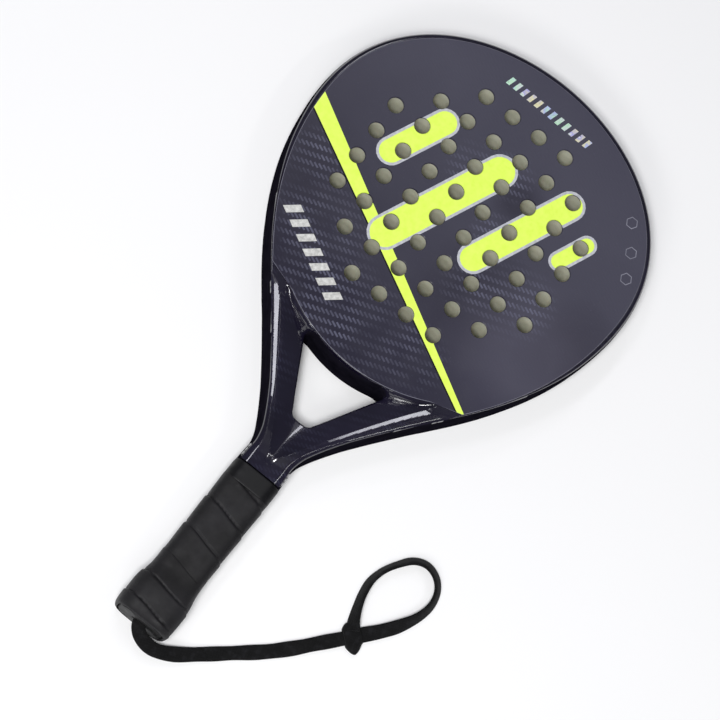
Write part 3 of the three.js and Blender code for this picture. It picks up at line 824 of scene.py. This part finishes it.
def wrist_strap():
    """The flat strap along its route: the piece, its middle line and its length."""
    line = catmull_rom(np.array(STRAP_ROUTE, float), 8)
    path, roll = line[:, :3], np.radians(line[:, 3])
    along = np.gradient(path, axis=0)
    along /= np.linalg.norm(along, axis=1)[:, None]
    side = np.cross(along, (0, 0, 1.0))
    side /= np.linalg.norm(side, axis=1)[:, None]
    width = side * np.cos(roll)[:, None] + np.cross(along, side) * np.sin(roll)[:, None]
    normal = np.cross(width, along)
    across, thick = strap_section()
    run = np.concatenate([[0], np.cumsum(np.linalg.norm(np.diff(path, axis=0), axis=1))])
    rings = []
    for k in range(len(path)):
        short, long = (0.5 + 0.5 * math.sin(w) for w in (run[k] * 260, run[k] * 97 + 1))
        pinch = 1 - 0.06 * short - 0.05 * long
        ring = path[k] + across[:, None] * width[k] * pinch + thick[:, None] * normal[k] * (2 - pinch) ** 1.2
        ring[:, 2] += max(0, 0.0002 - ring[:, 2].min())
        rings.append(ring)
    vertices, faces = swept(rings)
    made = new_object("wrist_strap_webbing", vertices, faces, [MATERIALS["webbing"]], None, 60)
    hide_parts("wrist_strap")
    return made, path, float(run[-1])


def eye_fold():
    """The strap's end folded round the strap and sewn to itself."""
    centre = (np.array(EYE_LOW) + np.array(EYE_HIGH)) / 2
    way = np.array((0.6494, 0.7604, 0.0))
    side = np.array((way[1], -way[0], 0.0))
    rings = []
    for s in np.linspace(-1, 1, 21):
        swell = 1 - 0.14 * abs(s) ** 4
        far = 0.0064 + 0.0052 * max(0, 1 - abs(s + 0.12) ** 1.5)
        near = 0.0068 + 0.0030 * max(0, 1 - abs(s + 0.10) ** 2.0)
        ring = []
        for k in range(48):
            a = 2 * math.pi * k / 48
            reach = far if math.cos(a) > 0 else near
            across = np.sign(math.cos(a)) * abs(math.cos(a)) ** 0.6 * reach * swell
            pad = 0.0004 * math.exp(-(((across - 0.0072) / 0.0012) ** 2))
            lift = 0.0034 - 0.0011 * max(0, across / far) ** 2 + pad
            high = np.sign(math.sin(a)) * abs(math.sin(a)) ** 0.7 * (lift if a < math.pi else 0.0028) * swell
            ring.append(centre + way * s * 0.0056 + side * across + np.array((0, 0, high)))
        rings.append(np.array(ring))
    inner = []
    for s in (1, -1):
        ring = []
        for k in range(48):
            a = 2 * math.pi * k / 48
            across = np.sign(math.cos(a)) * abs(math.cos(a)) ** 0.4 * 0.0055
            high = np.sign(math.sin(a)) * abs(math.sin(a)) ** 0.6 * 0.0016
            ring.append(centre + way * s * 0.0056 + side * across + np.array((0, 0, high)))
        inner.append(np.array(ring))
    vertices, faces = swept([*rings, *inner], False)
    last = 22 * 48
    faces += [(last + i, last + (i + 1) % 48, (i + 1) % 48, i) for i in range(48)]
    return new_object("running_eye_fold", vertices, faces, [MATERIALS["webbing"]], None, 60)


def stop_knot():
    """The lumpy overhand knot inside the butt."""
    made = []
    for k in range(90):
        t = 2 * math.pi * k / 90
        ring = np.array(((2 + math.cos(3 * t)) * math.cos(2 * t) * 0.0020, math.sin(3 * t) * 0.0026,
                         (2 + math.cos(3 * t)) * math.sin(2 * t) * 0.0017))
        made.append(ring + (0, -0.2183, MID_Z))
    path = np.array(made)
    along = np.roll(path, -1, 0) - np.roll(path, 1, 0)
    along /= np.linalg.norm(along, axis=1)[:, None]
    side = np.cross(along, (0, 1.0, 0.2))
    side /= np.linalg.norm(side, axis=1)[:, None]
    up = np.cross(side, along)
    rings = []
    for k in range(90):
        angle = 2 * math.pi * np.arange(14) / 14
        rings.append(path[k] + 0.0017 * (np.cos(angle)[:, None] * side[k] + np.sin(angle)[:, None] * up[k]))
    vertices, faces = swept(rings, False)
    faces += [(89 * 14 + i, 89 * 14 + (i + 1) % 14, (i + 1) % 14, i) for i in range(14)]
    return new_object("stop_knot", vertices, faces, [MATERIALS["webbing"]], None, 60)


# ---------------------------------------------------------------- materials
def node(tree, kind, **values):
    made = tree.nodes.new("ShaderNode" + kind)
    for name, value in values.items():
        if name in made.inputs:
            made.inputs[name].default_value = value
        else:
            setattr(made, name, value)
    return made


def math_node(tree, operation, a, b=None):
    made = node(tree, "Math", operation=operation)
    for socket, value in zip(made.inputs, (a, b)):
        if value is None:
            continue
        if isinstance(value, (int, float)):
            socket.default_value = value
        else:
            tree.links.new(value, socket)
    return made.outputs[0]


def mixed(tree, factor, a, b):
    made = node(tree, "Mix", data_type="RGBA")
    for socket, value in ((made.inputs[0], factor), (made.inputs[6], a), (made.inputs[7], b)):
        if isinstance(value, (int, float, tuple)):
            socket.default_value = value
        else:
            tree.links.new(value, socket)
    return made.outputs[2]


def rgb(red, green, blue):
    """A screen colour, 0 to 255, as the linear colour that the shader takes."""
    parts = (red / 255, green / 255, blue / 255)
    linear = [c / 12.92 if c <= 0.04045 else ((c + 0.055) / 1.055) ** 2.4 for c in parts]
    return (*linear, 1.0)


def start_material(name, roughness, **principled):
    """A new material: its node tree, its Principled shader and the object's own coordinates."""
    material = bpy.data.materials.new(name)
    material.use_nodes = True
    tree = material.node_tree
    shader = tree.nodes["Principled BSDF"]
    shader.inputs["Roughness"].default_value = roughness
    for key, value in principled.items():
        shader.inputs[key.replace("_", " ")].default_value = value
    place = node(tree, "TexCoord").outputs["Object"]
    return material, tree, shader, place


def noise(tree, place, scale, detail=3.0, roughness=0.55):
    made = node(tree, "TexNoise", Scale=scale, Detail=detail, Roughness=roughness)
    tree.links.new(place, made.inputs["Vector"])
    return made.outputs["Fac"]


def ramp(tree, value, low, high, out_low=0.0, out_high=1.0):
    made = node(tree, "MapRange", clamp=True)
    for key, number in (("From Min", low), ("From Max", high), ("To Min", out_low), ("To Max", out_high)):
        made.inputs[key].default_value = number
    tree.links.new(value, made.inputs["Value"])
    return made.outputs[0]


def product(tree, a, b):
    return math_node(tree, "MULTIPLY", a, b)


def uneven(tree, place, shader, scale, detail, low, high):
    """A roughness that wanders between low and high."""
    wander = ramp(tree, noise(tree, place, scale, detail), 0.3, 0.7, low, high)
    tree.links.new(wander, shader.inputs["Roughness"])


def bump(tree, shader, height, strength, size):
    made = node(tree, "Bump", Strength=strength, Distance=size)
    tree.links.new(height, made.inputs["Height"])
    tree.links.new(made.outputs[0], shader.inputs["Normal"])


def turned(tree, place, degrees, scale=1.0):
    made = node(tree, "Mapping")
    made.inputs["Rotation"].default_value = (0, 0, math.radians(degrees))
    made.inputs["Scale"].default_value = (scale, scale, scale)
    tree.links.new(place, made.inputs["Vector"])
    return made.outputs[0]


def twill(tree, place, tow, turn):
    """Two-over-two twill: 1 in the middle of a tow that runs on top, 0 on the tows under it."""
    split = node(tree, "SeparateXYZ")
    tree.links.new(turned(tree, place, turn, 1 / tow), split.inputs[0])
    u, v = split.outputs[0], split.outputs[1]
    cell_u, cell_v = math_node(tree, "FLOOR", u), math_node(tree, "FLOOR", v)
    step = math_node(tree, "SUBTRACT", cell_u, cell_v)
    phase = math_node(tree, "FRACT", product(tree, step, 0.25))
    over = math_node(tree, "LESS_THAN", phase, 0.49)
    across = math_node(tree, "ABSOLUTE", math_node(tree, "SUBTRACT", math_node(tree, "FRACT", v), 0.5))
    crown = ramp(tree, across, 0.38, 0.16)
    return product(tree, over, crown)


def patches(tree, place, spots):
    """A soft mask that is 1 in the middle of each (x, y, radius) spot."""
    total = None
    for x, y, radius in spots:
        away = node(tree, "VectorMath", operation="DISTANCE")
        tree.links.new(place, away.inputs[0])
        away.inputs[1].default_value = (x, y, THICKNESS)
        near = ramp(tree, away.outputs["Value"], radius, radius * 0.35)
        total = near if total is None else math_node(tree, "MAXIMUM", total, near)
    return total


WEAVE_SPOTS = ((-0.070, 0.040, 0.040), (-0.045, 0.008, 0.045), (-0.008, 0.004, 0.038), (0.028, 0.010, 0.030),
               (-0.012, 0.140, 0.024), (0.006, 0.150, 0.020), (0.022, 0.112, 0.018), (0.030, 0.075, 0.022),
               (0.060, 0.085, 0.030), (-0.095, 0.075, 0.026))
# Spots (x, y, radius) where the laminate is painted darker: painted dark reflections
PAINTED_DARK_REFLECTION_SPOTS = ((-0.110, 0.066, 0.050), (0.038, 0.070, 0.045), (0.104, 0.080, 0.040), (0.022, 0.140, 0.020))


def laminate(name, spots):
    """Lacquered woven fibre: navy towards the throat and slate towards the tip, that paler tip a painted
    reflection.
    """
    material, tree, shader, place = start_material(name, 0.34, IOR=1.48)
    shader.inputs["Coat Weight"].default_value = 0.4
    shader.inputs["Coat Roughness"].default_value = 0.14
    shader.inputs["Specular IOR Level"].default_value = 0.4
    split = node(tree, "SeparateXYZ")
    tree.links.new(place, split.inputs[0])
    drift = product(tree, math_node(tree, "SUBTRACT", noise(tree, place, 14, 2), 0.5), 0.10)
    height = math_node(tree, "ADD", split.outputs[1], drift)
    tipward_painted_reflection = math_node(tree, "ADD", height, product(tree, split.outputs[0], 0.35))
    # Paler towards the tip: a painted reflection over the navy
    tone = mixed(tree, ramp(tree, tipward_painted_reflection, -0.03, 0.19), rgb(26, 23, 42), rgb(62, 61, 76))
    # Darker patches painted into the colour: painted dark reflections
    painted_dark_reflection = patches(tree, place, PAINTED_DARK_REFLECTION_SPOTS)
    tone = mixed(tree, product(tree, painted_dark_reflection, 0.75), tone, rgb(30, 27, 44))
    # A paler patch painted into the colour: a painted reflection
    painted_pale_reflection = patches(tree, place, ((0.085, 0.060, 0.060),))
    tone = mixed(tree, product(tree, painted_pale_reflection, 0.40), tone, rgb(84, 82, 98))
    weave = twill(tree, place, 0.00215, 23)
    worn = ramp(tree, noise(tree, place, 40, 2), 0.30, 0.62)
    mask = product(tree, patches(tree, place, spots), worn)
    seen = product(tree, weave, product(tree, mask, 0.8))
    tone = mixed(tree, seen, tone, rgb(98, 99, 120))
    speck = ramp(tree, noise(tree, place, 900, 1), 0.70, 0.78)
    tone = mixed(tree, product(tree, speck, 0.20), tone, rgb(88, 90, 112))
    tree.links.new(tone, shader.inputs["Base Color"])
    relief = math_node(tree, "ADD", product(tree, weave, 0.35), noise(tree, place, 30, 2))
    bump(tree, shader, relief, 0.12, 0.0004)
    uneven(tree, place, shader, 60, 3, 0.28, 0.40)
    return material


def lacquer():
    """Deep gloss navy over fine fibre, with a little orange peel."""
    material, tree, shader, place = start_material("frame_lacquer_coat", 0.16, IOR=1.5)
    shader.inputs["Coat Weight"].default_value = 1.0
    shader.inputs["Coat Roughness"].default_value = 0.05
    weave = twill(tree, place, 0.0019, 23)
    cloud = ramp(tree, noise(tree, place, 35, 3), 0.45, 0.70)
    tone = mixed(tree, ramp(tree, noise(tree, place, 22, 2), 0.35, 0.65), rgb(16, 13, 28), rgb(28, 25, 42))
    tone = mixed(tree, product(tree, product(tree, weave, cloud), 0.4), tone,
                 rgb(62, 63, 84))
    tree.links.new(tone, shader.inputs["Base Color"])
    uneven(tree, place, shader, 50, 3, 0.12, 0.22)
    bump(tree, shader, noise(tree, place, 110, 2), 0.05, 0.0006)
    return material


def lime_paint_with_painted_glow():
    material, tree, shader, place = start_material("lime_print_painted_glow", 0.38)
    patchy = ramp(tree, noise(tree, place, 260, 4), 0.35, 0.65)
    tree.links.new(mixed(tree, patchy, rgb(212, 238, 84), rgb(220, 246, 100)), shader.inputs["Base Color"])
    # A little emission: a painted glow that lifts the lime print as light would; the print is no lamp
    shader.inputs["Emission Color"].default_value = rgb(214, 250, 90)
    shader.inputs["Emission Strength"].default_value = 0.10
    bump(tree, shader, noise(tree, place, 700, 2), 0.05, 0.0002)
    return material


def foil(name, low, high, metallic):
    """Hot-pressed foil: fine brushed variation over a bright base."""
    material, tree, shader, place = start_material(name, 0.36, Metallic=metallic)
    tone = mixed(tree, ramp(tree, noise(tree, place, 420, 4), 0.3, 0.7), low, high)
    tree.links.new(tone, shader.inputs["Base Color"])
    uneven(tree, place, shader, 300, 3, 0.28, 0.44)
    bump(tree, shader, noise(tree, place, 1200, 2), 0.05, 0.0001)
    return material


def rainbow_foil():
    """Foil whose colour runs through pale violet, gold and green along the row."""
    material, tree, shader, place = start_material("rainbow_foil", 0.30, Metallic=0.5)
    split = node(tree, "SeparateXYZ")
    tree.links.new(place, split.inputs[0])
    along = product(tree, split.outputs[0], 26)
    wander = math_node(tree, "ADD", along, noise(tree, place, 160, 2))
    colours = node(tree, "ValToRGB")
    stops = colours.color_ramp.elements
    stops[0].color, stops[1].color = rgb(190, 188, 246), rgb(236, 238, 246)
    for at, colour in ((0.30, (250, 244, 190)), (0.50, (196, 206, 255)), (0.72, (205, 250, 214))):
        stop = stops.new(at)
        stop.color = rgb(*colour)
    tree.links.new(math_node(tree, "FRACT", wander), colours.inputs[0])
    tree.links.new(colours.outputs[0], shader.inputs["Base Color"])
    uneven(tree, place, shader, 300, 3, 0.24, 0.40)
    return material


def foam():
    """Cut closed-cell foam: fine pits, painted darker as their shade, over a beige grey-green."""
    material, tree, shader, place = start_material("cut_foam", 0.88)
    shader.inputs["Subsurface Weight"].default_value = 0.05
    cells = node(tree, "TexVoronoi", Scale=1500)
    tree.links.new(place, cells.inputs["Vector"])
    cloud = ramp(tree, noise(tree, place, 90, 3), 0.3, 0.7)
    tone = mixed(tree, cloud, rgb(192, 191, 172), rgb(216, 214, 196))
    # Darker in the middle of each cell: painted shade in the pits
    tone = mixed(tree, ramp(tree, cells.outputs["Distance"], 0.55, 0.1, 0, 0.22), tone, rgb(150, 150, 126))
    tree.links.new(tone, shader.inputs["Base Color"])
    bump(tree, shader, cells.outputs["Distance"], 0.35, 0.0003)
    return material


def grip_leather():
    """Soft black synthetic leather: pores, faint creases and rubbed high places."""
    material, tree, shader, place = start_material("grip_leather_grain", 0.62)
    shader.inputs["Specular IOR Level"].default_value = 0.3
    shader.inputs["Sheen Weight"].default_value = 0.04
    shader.inputs["Sheen Roughness"].default_value = 0.5
    shader.inputs["Sheen Tint"].default_value = (0.6, 0.6, 0.66, 1)
    cells = node(tree, "TexVoronoi", Scale=1250, feature="DISTANCE_TO_EDGE")
    tree.links.new(place, cells.inputs["Vector"])
    rub = ramp(tree, noise(tree, place, 45, 4), 0.35, 0.70)
    tree.links.new(mixed(tree, rub, rgb(14, 13, 15), rgb(26, 25, 28)), shader.inputs["Base Color"])
    uneven(tree, place, shader, 120, 4, 0.52, 0.74)
    grain = math_node(tree, "ADD", ramp(tree, cells.outputs["Distance"], 0, 0.12), noise(tree, place, 220, 4))
    bump(tree, shader, grain, 0.30, 0.00022)
    return material


def tape():
    material, tree, shader, place = start_material("tape_film", 0.50)
    shader.inputs["Specular IOR Level"].default_value = 0.25
    fine = noise(tree, place, 320, 4)
    tone = mixed(tree, ramp(tree, noise(tree, place, 60, 3), 0.3, 0.7), rgb(8, 8, 10), rgb(15, 15, 18))
    tree.links.new(tone, shader.inputs["Base Color"])
    tree.links.new(ramp(tree, fine, 0.3, 0.7, 0.42, 0.60), shader.inputs["Roughness"])
    bump(tree, shader, fine, 0.12, 0.0002)
    return material


def webbing():
    """Black woven strap: small ribs both ways with a soft sheen."""
    material, tree, shader, place = start_material("strap_weave", 0.82)
    shader.inputs["Specular IOR Level"].default_value = 0.15
    shader.inputs["Sheen Weight"].default_value = 0.03
    shader.inputs["Sheen Roughness"].default_value = 0.6
    ribs = []
    for turn in (49.5, -40.5):
        wave = node(tree, "TexWave", Scale=330, Distortion=0.6, Detail=1.0)
        tree.links.new(turned(tree, place, -turn), wave.inputs["Vector"])
        ribs.append(wave.outputs["Fac"])
    knit = product(tree, ribs[0], ribs[1])
    tone = mixed(tree, knit, rgb(8, 8, 9), rgb(22, 22, 23))
    tone = mixed(tree, ramp(tree, noise(tree, place, 240, 3), 0.5, 0.8, 0, 0.4), tone, rgb(44, 44, 48))
    tree.links.new(tone, shader.inputs["Base Color"])
    uneven(tree, place, shader, 180, 3, 0.74, 0.90)
    bump(tree, shader, knit, 0.5, 0.0003)
    return material


def moulded(name, dark, light, roughness, metallic=0.0, shine=0.25):
    """Plain moulded or drawn stock with fine texture."""
    material, tree, shader, place = start_material(name, roughness, Metallic=metallic)
    tone = mixed(tree, ramp(tree, noise(tree, place, 120, 3), 0.3, 0.7), dark, light)
    tree.links.new(tone, shader.inputs["Base Color"])
    uneven(tree, place, shader, 200, 4, roughness - 0.08, roughness + 0.08)
    if metallic == 0:
        shader.inputs["Specular IOR Level"].default_value = shine
    bump(tree, shader, noise(tree, place, 1800, 2), 0.15, 0.0001)
    return material


MATERIALS = {
    "lacquer": lacquer(),
    "side": moulded("frame_side_coat", rgb(17, 16, 23), rgb(27, 25, 34), 0.40, shine=0.0),
    "front": laminate("front_laminate_coat", WEAVE_SPOTS),
    "rear": laminate("rear_laminate_coat", WEAVE_SPOTS[:4]),
    "lime": lime_paint_with_painted_glow(),
    "silver": foil("silver_edge", rgb(176, 178, 186), rgb(206, 208, 214), 0.2),
    "dark_line": moulded("dark_line", rgb(14, 13, 16), rgb(24, 22, 28), 0.4),
    "foil": foil("silver_foil", rgb(186, 186, 182), rgb(232, 232, 228), 0.35),
    "rainbow": rainbow_foil(),
    # Pale print for the hexagon rings, also a painted highlight along the front face's edge
    "pale_ring_and_edge_highlight": moulded("pale_print_and_painted_edge_highlight", rgb(112, 112, 124), rgb(138, 138, 150), 0.4),
    "foam": foam(),
    "grip": grip_leather(),
    "tape": tape(),
    "webbing": webbing(),
    "cap": moulded("moulded_cap", rgb(9, 9, 10), rgb(15, 15, 17), 0.55),
    "bare": moulded("bare_laminate", rgb(26, 26, 30), rgb(38, 38, 42), 0.5),
    "steel": moulded("staple_wire", rgb(170, 170, 176), rgb(205, 205, 210), 0.3, 1.0),
}


# ---------------------------------------------------------------- stage
def make_stage():
    """A pale floor, a dim room, two aimed soft lights and four small cards of light."""
    bpy.context.scene.view_settings.view_transform = "Standard"
    world = bpy.data.worlds.new("studio")
    world.use_nodes = True
    world.node_tree.nodes["Background"].inputs[0].default_value = (0.86, 0.88, 1.0, 1)
    world.node_tree.nodes["Background"].inputs[1].default_value = 0.11
    bpy.context.scene.world = world
    mesh = bpy.data.meshes.new("floor")
    half = 6.0
    corners = [(-half, -half, 0), (half, -half, 0), (half, half, 0), (-half, half, 0)]
    mesh.from_pydata(corners, [], [(0, 1, 2, 3)])
    floor = bpy.data.objects.new("floor", mesh)
    floor.location.z = -0.0002
    bpy.context.scene.collection.objects.link(floor)
    material, tree, shader, place = start_material("pale_floor", 0.9)
    tree.links.new(mixed(tree, noise(tree, place, 3, 2), (0.90, 0.90, 0.90, 1), (0.93, 0.93, 0.93, 1)),
                   shader.inputs["Base Color"])
    mesh.materials.append(material)
    soft_light("key", (-0.10, -0.95, 2.55), (0.6, 0.6), 58, (1.0, 1.0, 1.0), True)
    soft_light("front", (0.10, -1.55, 1.60), (0.9, 0.5), 8, (1.0, 1.0, 1.0), True)
    soft_light("left_card", (-0.45, 0.06, 1.25), (0.14, 0.32), 1.2, (0.92, 0.92, 1.0), False)
    soft_light("far_card", (-0.39, 0.76, 1.25), (0.14, 0.26), 1.0, (0.92, 0.92, 1.0), False)
    soft_light("right_card", (0.72, 0.02, 1.30), (0.06, 0.6), 1.2, (1.0, 1.0, 1.0), False)
    soft_light("sky", (0.10, 0.66, 1.45), (0.9, 0.34), 0.6, (0.95, 0.95, 1.0), False)


def soft_light(name, place, size, power, colour, aimed):
    light = bpy.data.lights.new(name, "AREA")
    light.shape = "RECTANGLE"
    light.size, light.size_y = size
    light.energy = power
    light.color = colour
    lamp = bpy.data.objects.new(name, light)
    lamp.location = place
    if aimed:
        lamp.rotation_mode = "QUATERNION"
        lamp.rotation_quaternion = (-Vector(place)).to_track_quat("-Z", "Y")
    bpy.context.scene.collection.objects.link(lamp)


def place(piece, body, slot, *nodes):
    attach(piece, body)
    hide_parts(*nodes)
    return piece


def keep_node(name, material):
    """A CAD node whose shape is right, with a better finish."""
    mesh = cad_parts[name].data
    mesh.materials.clear()
    mesh.materials.append(MATERIALS[material])


make_camera()
strap, strap_path, strap_length = wrist_strap()
eye = place(eye_fold(), EYE_BODY, "strap_webbing", "strap_eye")
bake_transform(strap)
place(stop_knot(), RACKET, "strap_webbing", "strap_knot")

FRAME_NODES = ("frame_hoop", "arm_right", "arm_left", "throat_bridge", "throat_wedge")
place(frame_shell(), RACKET, "frame_lacquer", *FRAME_NODES)
FRONT_FINISHES = ("front", "lime", "silver", "dark_line", "foil", "rainbow", "pale_ring_and_edge_highlight")
front_finishes = [MATERIALS[k] for k in FRONT_FINISHES]
place(face_laminate("front_laminate", 1, front_finishes), RACKET, "face_laminate", "front_face")
place(face_laminate("rear_laminate", -1, [MATERIALS["rear"]]), RACKET, "face_laminate", "rear_face")
place(foam_core(), RACKET, "core_foam", "foam_core")
place(wound_grip(), RACKET, "grip_leather", "grip_wrap")
place(finishing_tape(), RACKET, "collar_tape", "grip_collar")
place(end_cap(), RACKET, "cap_plastic", "butt_cap")
keep_node("handle_shell", "bare")
for staple in ("staple_right", "staple_left"):
    keep_node(staple, "steel")
make_stage()
